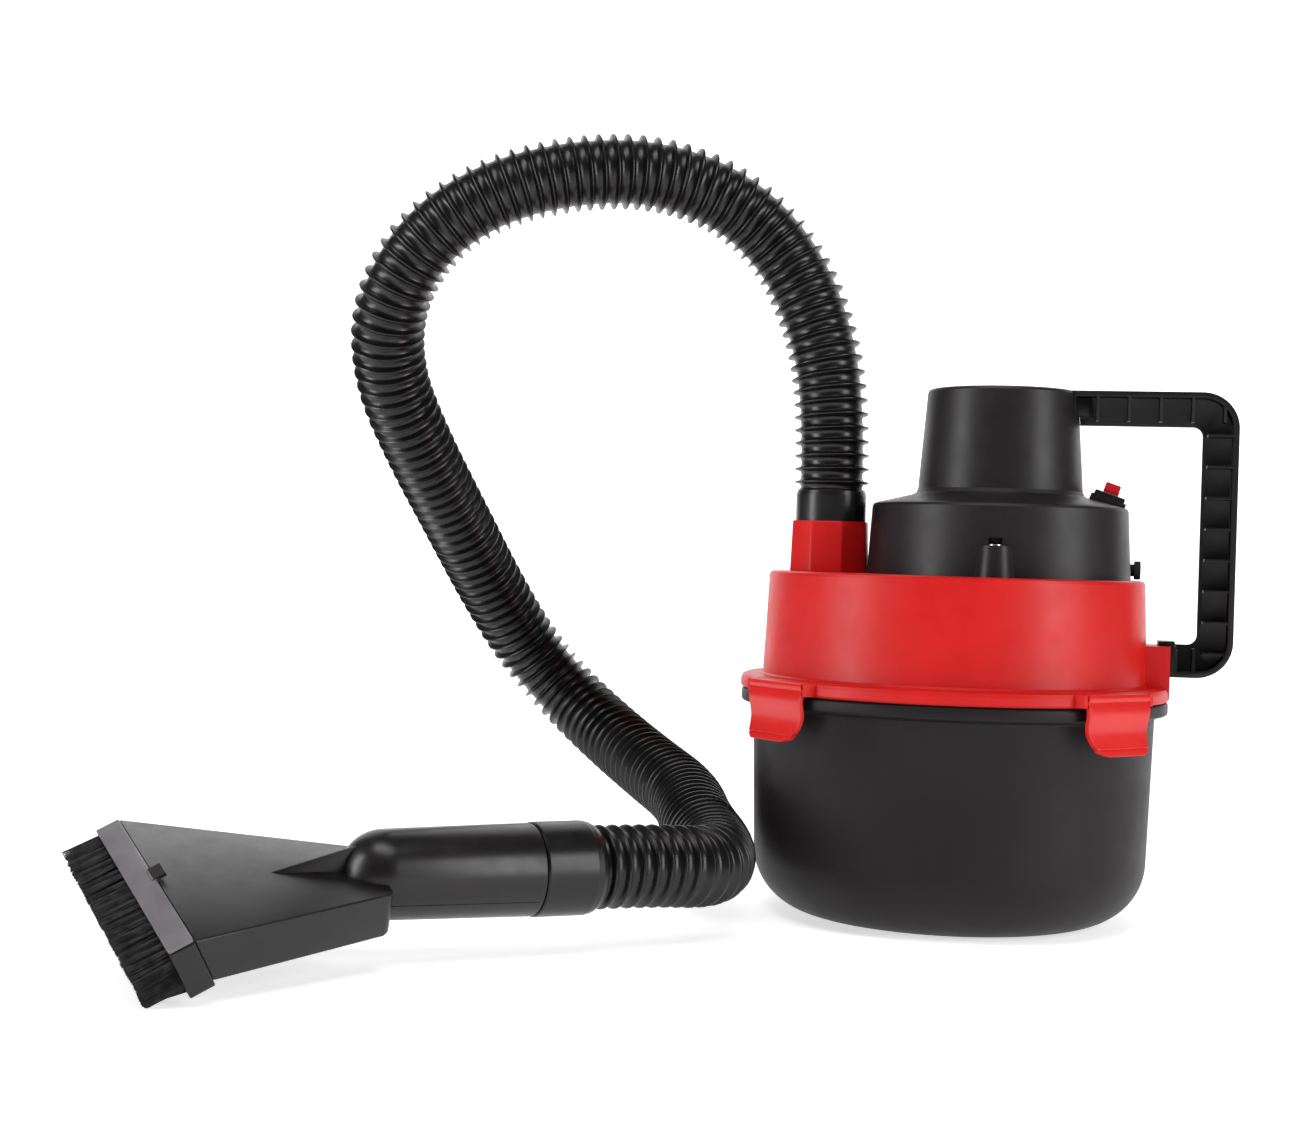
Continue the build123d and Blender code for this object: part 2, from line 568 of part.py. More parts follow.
def switch_terminals():
    return group([switch_place() * (Pos(0, y, -10.0) * Box(4.8, 0.8, 3.9)) for y in (-4, 4)])


def lead(points, radius, bends):
    path = FilletPolyline(*points, radius=bends)
    start = Plane(origin=path @ 0, z_dir=path % 0)
    return sweep(start * Circle(radius), path=path)


def tag_end(y):
    """Lower end of a switch tag."""
    tag = (switch_place() * Pos(0, y, -12.2)).position
    return (tag.X, tag.Y, tag.Z)


def switch_lead():
    """Insulated lead from a switch tag up past the can to the motor's brush gear."""
    start = tag_end(4)
    return lead([start, (start[0] - 0.6, 4, 164.6), (50, 7.6, 164.6), (46.5, 11.5, 173), (45.6, 11.5, 190),
                 (MOTOR_X + 26.3, 9, 207)], 0.8, 0.9)


def supply_lead():
    """Insulated lead from the other switch tag down the fan chamber to the cord outlet."""
    start = tag_end(-4)
    return lead([start, (start[0] - 0.4, -4, 162.3), (66.3, 0, 162.3), (67, 8.6, 148.3),
                 (73.4, 9, LID_Z + 4.4)], 0.8, 0.9)


def cord_grommet():
    """Soft bush where the supply cord leaves the housing."""
    place = Pos(MOTOR_X + 56.0, 9, LID_Z + 4.4) * Rot(0, 90, 0)
    body = Cylinder(2.55, 5.0) + Pos(0, 0, 2.2) * Cylinder(3.9, 2.6)
    body -= Cylinder(1.5, 20)
    return place * body


# ---- filter, float and deflector under the lid -------------------------------------
CAGE_LOW_Z = 84.0


def filter_cage():
    """Slotted cup that hangs under the eye and guides the float."""
    top = LID_Z - WALL - 0.1
    body = ring(33.0, 30.8, CAGE_LOW_Z, top - 9, MOTOR_X) + disc(33.0, CAGE_LOW_Z, CAGE_LOW_Z + 2, MOTOR_X)
    body += ring(33.0, 30.2, top - 11, top, MOTOR_X)
    for k in range(12):
        slot = Rot(0, 0, 30 * k + 15) * (Pos(32, 0, CAGE_LOW_Z + 21) * Box(8, 9, 30))
        body -= Pos(MOTOR_X, 0, 0) * slot
    body -= disc(12, CAGE_LOW_Z - 1, CAGE_LOW_Z + 3, MOTOR_X)
    guide = [Pos(MOTOR_X, 0, 0) * Rot(0, 0, a) * block(25.4, 31.2, -0.9, 0.9, CAGE_LOW_Z + 1, top - 12)
             for a in (0, 90, 180, 270)]
    return body + joined(guide)


def filter_sleeve():
    """Cloth and foam sleeve stretched over the cage."""
    return ring(37.5, 33.1, CAGE_LOW_Z + 0.5, LID_Z - 15, MOTOR_X) + disc(37.5, CAGE_LOW_Z - 3.2,
                                                                        CAGE_LOW_Z - 0.1, MOTOR_X) \
        + ring(37.5, 33.1, CAGE_LOW_Z - 0.2, CAGE_LOW_Z + 0.6, MOTOR_X)


def filter_band():
    return ring(39.2, 37.55, LID_Z - 22, LID_Z - 17, MOTOR_X)


def float_cup():
    """Hollow float that rises with the water and shuts the eye."""
    z0 = CAGE_LOW_Z + 2.1
    outer = disc(25.0, z0, z0 + 26, MOTOR_X)
    outer = fillet(outer.edges().sort_by(Axis.Z)[-1], 6)
    return outer - disc(23.2, z0 - 1, z0 + 22, MOTOR_X)


def inlet_deflector():
    """Short elbow that turns the incoming air down the tank wall."""
    top = LID_Z - 14.1
    pipe = ring(COLLAR_BORE_R + 1.9, COLLAR_BORE_R - 1.0, top - 14, top, COLLAR_X)
    cap = disc(COLLAR_BORE_R + 1.9, top - 16, top - 14, COLLAR_X)
    body = pipe + cap
    body -= block(COLLAR_X - 20, COLLAR_X - 4, -9, 9, top - 13.9, top - 3)
    return body


# ---- hose --------------------------------------------------------------------
def route_radii(points):
    """Largest arc each corner allows: 0.45 of its shorter run over tan of half the turn."""
    radii = []
    for a, b, c in zip(points, points[1:], points[2:]):
        before = Vector(*b) - Vector(*a)
        after = Vector(*c) - Vector(*b)
        turn = math.radians(before.get_angle(after))
        radii.append(0.45 * min(before.length, after.length) / math.tan(turn / 2))
    return radii


def hose():
    radii = route_radii(HOSE_ROUTE)
    path = FilletPolyline(*HOSE_ROUTE, radius=radii)
    start = Plane(origin=path @ 0, z_dir=path % 0)
    section = start * (Circle(HOSE_R) - Circle(HOSE_BORE_R))
    tube = sweep(section, path=path)
    area = math.pi * (HOSE_R ** 2 - HOSE_BORE_R ** 2)
    print("hose radii", [round(r) for r in radii])
    print("hose length", round(path.length, 1), "volume over section x length",
          round(tube.volume / (area * path.length), 4))
    return tube


def hose_lid_cuff():
    """Plug for the lid's collar, with a shoulder that seats on the collar."""
    points = [
        (12.2, COLLAR_TOP_Z - 24), (14.1, COLLAR_TOP_Z - 24), (COLLAR_BORE_R - FIT, COLLAR_TOP_Z - 20),
        (COLLAR_BORE_R - FIT, COLLAR_TOP_Z + 0.1), (15.05, COLLAR_TOP_Z + 0.1), (15.0, HOSE_START_Z - 2.6),
        (14.6, HOSE_START_Z - 0.9), (13.9, HOSE_START_Z), (12.2, HOSE_START_Z)]
    return spun(points, COLLAR_X)


# ---- nozzle ------------------------------------------------------------------
def nozzle_place():
    """Local frame of the nozzle: x along the tube to the bristles, z up."""
    ahead = Vector(*NOZZLE_X).normalized()
    lean = Vector(*NOZZLE_UP)
    return Location(Plane(origin=NOZZLE_TIP, x_dir=ahead, z_dir=lean - ahead * lean.dot(ahead)))


def along(points):
    """Solid of revolution about the nozzle's x axis from (x, radius) points."""
    face = make_face(Polyline(*[(x, r, 0) for x, r in points], close=True))
    return revolve(face, Axis.X)


def hose_end_cuff():
    outline = [
        (-SEAM_S - 0.3, 16.0), (-SEAM_S - 0.3, 17.2), (-SEAM_S - 0.9, 17.65), (-CUFF_S + 5.5, 17.75),
        (-CUFF_S + 3.0, 17.3), (-CUFF_S + 1.0, 16.2), (-CUFF_S + 0.1, 15.0), (-CUFF_S + 0.1, 12.4),
        (-CUFF_S + 4.0, 12.4), (-CUFF_S + 4.0, 16.0)]
    return nozzle_place() * along(outline)


def fan_plan(grow, front, rear):
    """Plan of the flat fan: widens from the tube to the brush."""
    spread = (BRUSH_W / 2 - 1.0 - FAN_REAR_HALF) / (FAN_WIDE_X - FAN_REAR_X)
    half_rear = FAN_REAR_HALF + grow + spread * (rear - FAN_REAR_X)
    half_front = FAN_REAR_HALF + grow + spread * (front - FAN_REAR_X)
    return Polygon((rear, -half_rear), (front, -half_front), (front, half_front), (rear, half_rear), align=None)


def mouth_plane(offset):
    """Plane across the mouth, leaning with the brush, at a distance ahead of its back face."""
    tilt = math.radians(BRUSH_TILT)
    ahead = Vector(math.cos(tilt), 0, -math.sin(tilt))
    centre = Vector(BRUSH_AT[0], 0, BRUSH_AT[1]) - ahead * (BRUSH_D / 2)
    return Plane(origin=centre + ahead * offset, x_dir=(0, 1, 0), z_dir=ahead)


def nozzle_body():
    """Grip tube with a domed end, flowing into a flat hollow fan with a stiffening fin."""
    grip = along([(-SEAM_S, 0), (-SEAM_S, TUBE_END_R), (DOME_S, TUBE_DOME_R), (DOME_S, 0)])
    dome = Pos(DOME_S, 0, 0) * Sphere(TUBE_DOME_R)
    spigot = along([(-SEAM_S - 18, 0), (-SEAM_S - 18, 15.5), (-SEAM_S - 16, 16.0 - FIT),
                    (-SEAM_S, 16.0 - FIT), (-SEAM_S, 0)])
    fan = Pos(0, 0, FAN_LOW_Z) * extrude(fan_plan(0, 90, FAN_REAR_X), amount=FAN_TOP_Z - FAN_LOW_Z)
    fan = fillet(fan.edges().filter_by(Axis.Z).sort_by(Axis.X)[0:2], 4.0)
    ahead = mouth_plane(0)
    keep = Location(ahead) * (Pos(0, 0, -100) * Box(300, 300, 200))
    fan &= keep
    fin = extrude(Plane.XZ * Polygon((-2, 12.5), (6.0, 8.6), (34, FAN_TOP_Z - 0.2), (-2, FAN_TOP_Z - 0.2),
                                     align=None), amount=0.9, both=True)
    body = grip + dome + spigot + fan + fin
    hollow_fan = Pos(0, 0, FAN_LOW_Z + 1.9) * extrude(fan_plan(-1.9, 95, FAN_REAR_X + 2.4),
                                                     amount=FAN_TOP_Z - FAN_LOW_Z - 3.8)
    tube_bore = along([(-SEAM_S - 25, 0), (-SEAM_S - 25, 13.6), (DOME_S, 13.6), (DOME_S, 0)])
    dome_bore = Pos(DOME_S, 0, 0) * Sphere(13.6)
    body -= hollow_fan
    body -= tube_bore
    body -= dome_bore & block(-60, 20, -30, 30, FAN_LOW_Z + 1.9, 30)
    return nozzle_place() * body


def brush_outline(w, h, r):
    return RectangleRounded(w, h, r)


def brush_frame():
    """Clip-on frame that holds the bristles round the mouth."""
    at = Location(mouth_plane(0.05))
    outer = extrude(brush_outline(BRUSH_W, BRUSH_H, 2.0), amount=BRUSH_D)
    slot = Pos(0, 0, -2) * extrude(brush_outline(BRUSH_W - 17, BRUSH_H - 11.6, 2.0), amount=60)
    seat = Pos(0, 0, BRUSH_D - 4) * extrude(brush_outline(BRUSH_W - 2.6, BRUSH_H - 2.6, 1.4)
                                            - brush_outline(BRUSH_W - 13.4, BRUSH_H - 9.6, 2.0), amount=5)
    clip = Pos(0, BRUSH_H / 2 + 0.1, -1.2) * Box(9, 1.2, 5)
    # tongue inside the mouth, in line with the nozzle so that the frame pulls straight off
    inner_low = FAN_LOW_Z + 1.9 + GAP
    inner_high = FAN_TOP_Z - 1.9 - GAP
    tongue = Pos(0, 0, inner_low) * extrude(fan_plan(-1.9 - GAP, 95, 62), amount=inner_high - inner_low)
    tongue -= Pos(0, 0, inner_low + 1.6) * extrude(fan_plan(-4.8, 96, 50), amount=inner_high - inner_low - 3.2)
    behind = Location(mouth_plane(0.1)) * (Pos(0, 0, -20) * Box(300, 300, 40))
    ahead = Location(mouth_plane(-6.0)) * (Pos(0, 0, 20) * Box(300, 300, 40))
    return nozzle_place() * (at * (outer + clip - slot - seat) + (tongue & behind & ahead))


def bristles():
    """Closed ring of bristles, set in the frame's groove."""
    at = Location(mouth_plane(0.05))
    band = brush_outline(BRUSH_W - 2.8, BRUSH_H - 2.8, 1.4) - brush_outline(BRUSH_W - 13.2, BRUSH_H - 9.4, 2.0)
    body = Pos(0, 0, BRUSH_D - 3.9) * extrude(band, amount=BRISTLE_L + 3.9)
    # the lowest tips are pressed flat by the floor
    return (nozzle_place() * at * body) & block(-600, 200, -600, 200, 0.3, 400)


# ---- write every part ------------------------------------------------------------
def main():
    simple = [
        tank, lid, lid_seal, latch_pins, motor_housing, housing_screws, handle, handle_screws,
        motor_mount_plate, plate_screws, motor_can, motor_end_cap, motor_screws, motor_magnets,
        lower_bush, upper_bush, carbon_brushes, brush_holders, motor_shaft, armature_core,
        armature_windings, commutator, impeller, impeller_nut, switch_bezel, switch_rocker,
        switch_terminals, switch_lead, supply_lead, cord_grommet, filter_cage, filter_sleeve,
        filter_band, float_cup, inlet_deflector, hose, hose_lid_cuff, hose_end_cuff,
        nozzle_body, brush_frame, bristles]
    for make in simple:
        save(make(), make.__name__)
    tab = latch()
    for name, frame in latch_frames().items():
        save(frame * tab, f"latch_{name}")


main()
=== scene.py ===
# %% [markdown]
# # A small canister vacuum for the car
# The real object is a black plastic bucket with a red latched lid. A motor housing, a carrying
# handle and a corrugated hose stand on the lid, and the hose ends in a flat brush nozzle.
# The engineering model already has the right sizes, so this lesson gives each part the finish
# and the small shapes that a moulded plastic part has.

# %% Load the frame
import math
import random
import bpy
import bmesh
import numpy as np
from mathutils import Matrix, Vector


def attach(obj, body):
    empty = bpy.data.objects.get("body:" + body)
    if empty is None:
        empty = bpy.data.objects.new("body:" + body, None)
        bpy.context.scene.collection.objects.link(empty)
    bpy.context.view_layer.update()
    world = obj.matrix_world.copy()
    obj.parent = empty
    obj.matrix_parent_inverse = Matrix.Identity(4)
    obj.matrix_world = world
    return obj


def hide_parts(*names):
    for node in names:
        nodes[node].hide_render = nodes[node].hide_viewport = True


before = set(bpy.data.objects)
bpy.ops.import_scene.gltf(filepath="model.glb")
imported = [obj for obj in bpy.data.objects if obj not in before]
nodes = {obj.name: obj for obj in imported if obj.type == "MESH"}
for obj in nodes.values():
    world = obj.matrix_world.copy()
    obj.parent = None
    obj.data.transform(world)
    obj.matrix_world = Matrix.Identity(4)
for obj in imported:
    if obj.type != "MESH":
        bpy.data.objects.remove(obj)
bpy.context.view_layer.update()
MM = 0.001

# %% [markdown]
# ## Camera
# The camera is a long lens almost one metre away and a little above the middle of the bucket.
# It could be aimed with a Track To constraint, but a slight roll would be lost, so its three
# axes are written from the yaw, pitch and roll instead.

# %% Camera
yaw, pitch, roll = math.radians(-10.93), math.radians(0.385), math.radians(1.678)
forward = Vector((math.sin(yaw) * math.cos(pitch), math.cos(yaw) * math.cos(pitch), -math.sin(pitch)))
right = Vector((math.cos(yaw), -math.sin(yaw), 0))
up = right.cross(forward)
side = right * math.cos(roll) + up * math.sin(roll)
top = up * math.cos(roll) - right * math.sin(roll)
camera = bpy.data.objects.new("camera", bpy.data.cameras.new("camera"))
camera.data.lens = 57.96
camera.data.sensor_width = 36.0
axes = Matrix((side, top, -forward)).transposed()
camera.matrix_world = Matrix.Translation(Vector((38.0, -895.9, 149.6)) * MM) @ axes.to_4x4()
bpy.context.scene.collection.objects.link(camera)
bpy.context.scene.camera = camera
print("camera at", [round(v, 3) for v in camera.location])

# %% [markdown]
# ## The hose's line
# The hose is one length of about 0.8 metres. It rises out of the lid, leans over in an arch, and
# comes back round the bucket to the nozzle. A NURBS spline runs smoothly near its control
# points, which suits a springy hose better than straight runs with rounded corners.

# %% The hose's line
HOSE_ROUTE = [
    (-54, 0, 179.5), (-54, 0, 214), (-61, 2, 250), (-76, 3, 281), (-99, -6, 303),
    (-129, -20, 313), (-163, -34, 311), (-198, -45, 300), (-226, -48, 280), (-243, -42, 252),
    (-247, -24, 223), (-240, 2, 193), (-231, 34, 162), (-222, 65, 131), (-209, 85, 103),
    (-189, 90, 80), (-164, 77, 62), (-139, 49, 50), (-115, 12, 42), (-104, -26, 35),
    (-89, -63, 29), (-87, -91, 27), (-107.6, -112.9, 29.9), (-127.2, -128.4, 30.2)]
route_data = bpy.data.curves.new("hose_route", "CURVE")
route_data.dimensions = "3D"
spline = route_data.splines.new("NURBS")
spline.points.add(len(HOSE_ROUTE) - 1)
for point, place in zip(spline.points, HOSE_ROUTE):
    point.co = (*(Vector(place) * MM), 1)
spline.order_u = 3
spline.use_endpoint_u = True
spline.resolution_u = 24
route_object = bpy.data.objects.new("hose_route", route_data)
bpy.context.scene.collection.objects.link(route_object)
bpy.context.view_layer.update()
line_mesh = bpy.data.meshes.new_from_object(route_object)
hose_line = np.array([v.co for v in line_mesh.vertices])
bpy.data.objects.remove(route_object)
steps = np.linalg.norm(np.diff(hose_line, axis=0), axis=1)
travel = np.concatenate([[0], np.cumsum(steps)])
hose_length = float(travel[-1])
print("hose line:", len(hose_line), "points,", round(hose_length, 4), "m")

# %% [markdown]
# ## Helpers for meshes
# Three small helpers are used again and again. One spins an outline about an upright axis, as a
# lathe does. One rounds the sharp edges with a bevel, because a moulded edge is never razor
# sharp and the rounding is what catches the light. One turns a bmesh into a finished piece.

# %% Helpers for meshes
def turned(outline, steps):
    """Spin a closed outline of (radius, height) in millimetres about the upright axis."""
    bm = bmesh.new()
    verts = [bm.verts.new((r * MM, 0, z * MM)) for r, z in outline]
    edges = [bm.edges.new(pair) for pair in zip(verts, verts[1:] + verts[:1])]
    bmesh.ops.spin(bm, geom=verts + edges, cent=(0, 0, 0), axis=(0, 0, 1),
                   angle=2 * math.pi, steps=steps, use_merge=True)
    bmesh.ops.remove_doubles(bm, verts=bm.verts, dist=1e-6)
    bmesh.ops.recalc_face_normals(bm, faces=bm.faces)
    return bm


def ease_edges(bm, width, where=None, angle=30, segments=3, clamp=True):
    """Round the edges that turn by more than the angle, of those whose middle passes the where test."""
    bm.normal_update()
    sharp = [e for e in bm.edges if len(e.link_faces) == 2 and e.calc_face_angle() > math.radians(angle)]
    if where:
        sharp = [e for e in sharp if where((e.verts[0].co + e.verts[1].co) / 2 / MM)]
    bmesh.ops.bevel(bm, geom=sharp, offset=width * MM, affect="EDGES", segments=segments, profile=0.5,
                    material=-1, clamp_overlap=clamp)


def piece(bm, name, body, slot, *stands_for, crease=40):
    """Make an object of the bmesh, shade it, and let it ride on a body."""
    mesh = bpy.data.meshes.new(name)
    bm.to_mesh(mesh)
    bm.free()
    mesh.shade_smooth()
    mesh.set_sharp_from_angle(angle=math.radians(crease))
    made = bpy.data.objects.new(name, mesh)
    bpy.context.scene.collection.objects.link(made)
    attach(made, body)
    if stands_for:
        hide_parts(*stands_for)
    print(name, len(mesh.vertices), "vertices")
    return made


def copy_of(node):
    """A merged copy of a frame part, ready to be finished."""
    bm = bmesh.new()
    bm.from_mesh(nodes[node].data)
    bmesh.ops.remove_doubles(bm, verts=bm.verts, dist=2e-6)
    bmesh.ops.dissolve_limit(bm, angle_limit=math.radians(0.5), verts=bm.verts, edges=bm.edges)
    return bm


# %% [markdown]
# ## Helpers for finishes
# Nearly everything here is injection-moulded plastic. Up close it has a fine grain from the
# mould, faint flow patches, and a gloss that changes a little from place to place. Noise in
# Object coordinates gives all three, and it stays fixed to the part when the part moves.

# %% Helpers for finishes
def new_material(name):
    material = bpy.data.materials.new(name)
    material.use_nodes = True
    return material, material.node_tree, material.node_tree.nodes["Principled BSDF"]


def noise(tree, scale, detail=3.0, rough=0.55):
    coords = tree.nodes.new("ShaderNodeTexCoord")
    node = tree.nodes.new("ShaderNodeTexNoise")
    node.inputs["Scale"].default_value = scale
    node.inputs["Detail"].default_value = detail
    node.inputs["Roughness"].default_value = rough
    tree.links.new(coords.outputs["Object"], node.inputs["Vector"])
    return node


def spread(tree, source, low, high, start=0.3, end=0.7):
    """Map a texture's grey to a range of values."""
    node = tree.nodes.new("ShaderNodeMapRange")
    node.inputs["From Min"].default_value = start
    node.inputs["From Max"].default_value = end
    node.inputs["To Min"].default_value = low
    node.inputs["To Max"].default_value = high
    tree.links.new(source, node.inputs["Value"])
    return node.outputs["Result"]


def moulded(name, dark, light, gloss, grain=0.06, grain_scale=1800, patch_scale=28, shine=0.5):
    """Moulded plastic: two close colours in patches, uneven gloss, and a fine grain in relief."""
    material, tree, shader = new_material(name)
    patches = noise(tree, patch_scale, 4.0)
    ramp = tree.nodes.new("ShaderNodeValToRGB")
    ramp.color_ramp.elements[0].position = 0.35
    ramp.color_ramp.elements[0].color = (*dark, 1)
    ramp.color_ramp.elements[1].position = 0.68
    ramp.color_ramp.elements[1].color = (*light, 1)
    tree.links.new(patches.outputs["Fac"], ramp.inputs["Fac"])
    tree.links.new(ramp.outputs["Color"], shader.inputs["Base Color"])
    sheen = noise(tree, patch_scale * 3, 5.0)
    tree.links.new(spread(tree, sheen.outputs["Fac"], gloss[0], gloss[1]), shader.inputs["Roughness"])
    grains = noise(tree, grain_scale, 2.0)
    bump = tree.nodes.new("ShaderNodeBump")
    bump.inputs["Strength"].default_value = grain
    bump.inputs["Distance"].default_value = 0.0002
    tree.links.new(grains.outputs["Fac"], bump.inputs["Height"])
    tree.links.new(bump.outputs["Normal"], shader.inputs["Normal"])
    shader.inputs["Specular IOR Level"].default_value = shine
    return material


def metal(name, dark, light, gloss):
    material = moulded(name, dark, light, gloss, grain=0.05, grain_scale=3000, patch_scale=90)
    material.node_tree.nodes["Principled BSDF"].inputs["Metallic"].default_value = 1.0
    return material


def wear(made, material):
    made.data.materials.clear()
    made.data.materials.append(material)
    return made


# %% [markdown]
# ## Places on the nozzle and brush
# The nozzle lies askew on the floor, so its own directions help: one along the tube to the
# bristles, one across, and one up. The brush leans down from it. Two helpers turn a place
# measured along those directions into a place in the scene.

# %% The brush's own frame of reference
ahead_axis = Vector((-0.784, -0.621, 0.013)).normalized()
lean_axis = Vector((0.153, -0.172, 0.973))
lean_axis = (lean_axis - ahead_axis * lean_axis.dot(ahead_axis)).normalized()
across_axis = lean_axis.cross(ahead_axis)
nozzle_tip = Vector((-199.3, -185.5, 31.4))
tilt = math.radians(28.7)


def from_nozzle(x, y, z):
    """Row-frame place, in millimetres, of a point beside the nozzle's axis."""
    return nozzle_tip + ahead_axis * x + across_axis * y + lean_axis * z


brush_ahead = ahead_axis * math.cos(tilt) - lean_axis * math.sin(tilt)
brush_up = ahead_axis * math.sin(tilt) + lean_axis * math.cos(tilt)
brush_back = from_nozzle(74.3, 0, -7.7) - brush_ahead * (8.9 / 2 - 0.05)


def from_brush(across, high, out):
    """Place of a point by its distance across, up and out of the back of the brush frame."""
    return brush_back + across_axis * across + brush_up * high + brush_ahead * out


# %% [markdown]
# ## The finishes
# The reds are the same pigmented plastic, but the latches come from another mould with a higher
# polish. The blacks differ: the bucket is satin, the housing is a little coarser and greyer, and
# the handle, hose and nozzle are shinier. Base colours here are linear values, not screen values.

# %% The finishes
lid_red = moulded("lid_red", (0.50, 0.0045, 0.004), (0.56, 0.007, 0.006), (0.36, 0.46), 0.012, 900, 40, 0.3)
latch_red = moulded("latch_red", (0.56, 0.007, 0.006), (0.62, 0.011, 0.009),
                    (0.30, 0.36), 0.01, 900, 35, 0.45)
tank_black = moulded("tank_black", (0.0075, 0.0055, 0.006), (0.0095, 0.0072, 0.0078),
                     (0.44, 0.52), 0.06, 1600, 24, 0.2)
housing_black = moulded("housing_black", (0.008, 0.0062, 0.0075), (0.0105, 0.0085, 0.0098),
                        (0.38, 0.46), 0.08, 1400, 30, 0.3)
handle_black = moulded("handle_black", (0.003, 0.003, 0.003), (0.005, 0.005, 0.005),
                       (0.34, 0.44), 0.05, 1300, 60, 0.3)
nozzle_black = moulded("nozzle_black", (0.0055, 0.0042, 0.0045), (0.008, 0.006, 0.0065),
                       (0.28, 0.36), 0.012, 900, 50, 0.4)
hose_black = moulded("hose_black", (0.003, 0.003, 0.003), (0.005, 0.005, 0.0052),
                     (0.26, 0.36), 0.01, 900, 45, 0.4)
bristle_black = moulded("bristle_black", (0.005, 0.005, 0.005), (0.045, 0.043, 0.042),
                        (0.28, 0.42), 0.02, 900, 260, 0.8)
inner_black = moulded("inner_black", (0.02, 0.02, 0.02), (0.03, 0.03, 0.03), (0.45, 0.6), 0.1, 1200, 60)
seal_rubber = moulded("seal_rubber", (0.008, 0.008, 0.008), (0.014, 0.014, 0.014), (0.7, 0.85), 0.2, 900, 60)
fan_white = moulded("fan_white", (0.62, 0.62, 0.60), (0.7, 0.7, 0.67), (0.35, 0.5), 0.05, 1500, 60)
bezel_black = moulded("bezel_black", (0.006, 0.006, 0.006), (0.008, 0.008, 0.008),
                      (0.16, 0.24), 0.03, 1500, 90)
lead_red = moulded("lead_red", (0.35, 0.01, 0.01), (0.42, 0.015, 0.015), (0.4, 0.5), 0.03, 1500, 90)
filter_felt = moulded("filter_felt", (0.62, 0.62, 0.6), (0.78, 0.78, 0.75), (0.9, 1.0), 0.9, 700, 120)
zinc_steel = metal("zinc_steel", (0.52, 0.52, 0.53), (0.66, 0.66, 0.67), (0.24, 0.4))
dull_zinc = metal("dull_zinc", (0.42, 0.42, 0.43), (0.52, 0.52, 0.53), (0.4, 0.55))
sintered_bronze = metal("sintered_bronze", (0.5, 0.3, 0.12), (0.62, 0.4, 0.18), (0.4, 0.55))
copper = metal("copper", (0.6, 0.22, 0.1), (0.78, 0.34, 0.16), (0.25, 0.4))
sheet_iron = metal("sheet_iron", (0.2, 0.2, 0.21), (0.3, 0.3, 0.31), (0.35, 0.5))
graphite = moulded("graphite", (0.012, 0.012, 0.012), (0.02, 0.02, 0.021), (0.5, 0.65), 0.2, 2500, 200)
ferrite = moulded("ferrite", (0.03, 0.03, 0.032), (0.045, 0.045, 0.05), (0.55, 0.7), 0.3, 2500, 200)
rocker_red = moulded("rocker_red", (0.55, 0.012, 0.02), (0.65, 0.02, 0.03), (0.08, 0.14), 0.02, 1200, 150)
rocker_shader = rocker_red.node_tree.nodes["Principled BSDF"]
rocker_shader.inputs["Transmission Weight"].default_value = 0.55
rocker_shader.inputs["IOR"].default_value = 1.49

# the brush frame has fine moulded ribs across it: a wave in its own turned coordinates
# this pale grey is a painted highlight: it stands for the top light's reflection on the frame's broad faces
frame_painted_highlight_grey = moulded("frame_painted_highlight_grey", (0.125, 0.115, 0.125), (0.165, 0.152, 0.165),
                     (0.40, 0.50), 0.04, 1500, 60, 0.6)
frame_tree = frame_painted_highlight_grey.node_tree
frame_coords = frame_tree.nodes.new("ShaderNodeTexCoord")
frame_turn = frame_tree.nodes.new("ShaderNodeMapping")
frame_turn.inputs["Rotation"].default_value = Matrix((across_axis, brush_up, brush_ahead)).to_euler()
frame_ribs = frame_tree.nodes.new("ShaderNodeTexWave")
frame_ribs.inputs["Scale"].default_value = 240
frame_ribs.inputs["Distortion"].default_value = 0.6
frame_ribs.inputs["Detail"].default_value = 1.0
frame_bump = frame_tree.nodes.new("ShaderNodeBump")
frame_bump.inputs["Strength"].default_value = 0.18
frame_bump.inputs["Distance"].default_value = 0.0002
frame_tree.links.new(frame_coords.outputs["Object"], frame_turn.inputs["Vector"])
frame_tree.links.new(frame_turn.outputs["Vector"], frame_ribs.inputs["Vector"])
frame_tree.links.new(frame_ribs.outputs["Fac"], frame_bump.inputs["Height"])
frame_tree.links.new(frame_bump.outputs["Normal"], frame_tree.nodes["Principled BSDF"].inputs["Normal"])
print("finishes:", len(bpy.data.materials))

# %% [markdown]
# ## Every part gets its finish
# The parts that stay as the engineering model has them take a finish from a plain list. The
# parts that show on the outside are finished again further down.

# %% Every part gets its finish
FINISH = {
    tank_black: ["tank"], lid_red: ["lid"], housing_black: ["motor_housing"], handle_black: ["handle"],
    latch_red: ["latch_front_left", "latch_front_right", "latch_rear_right", "latch_rear_left"],
    seal_rubber: ["lid_seal", "cord_grommet", "supply_lead", "filter_band"],
    zinc_steel: ["latch_pins", "housing_screws", "handle_screws", "plate_screws", "motor_screws",
                 "motor_shaft", "impeller_nut"],
    dull_zinc: ["motor_can"], ferrite: ["motor_magnets"], graphite: ["carbon_brushes"],
    sintered_bronze: ["lower_bush", "upper_bush", "brush_holders"], sheet_iron: ["armature_core"],
    copper: ["armature_windings", "commutator", "switch_terminals"],
    inner_black: ["motor_mount_plate", "motor_end_cap", "filter_cage", "inlet_deflector"],
    fan_white: ["impeller", "float_cup"], bezel_black: ["switch_bezel"], rocker_red: ["switch_rocker"],
    lead_red: ["switch_lead"], filter_felt: ["filter_sleeve"],
    hose_black: ["hose", "hose_lid_cuff", "hose_end_cuff"], nozzle_black: ["nozzle_body"],
    frame_painted_highlight_grey: ["brush_frame"], bristle_black: ["bristles"]}
for material, names in FINISH.items():
    for name in names:
        wear(nodes[name], material)
print("finished parts:", sum(len(names) for names in FINISH.values()))

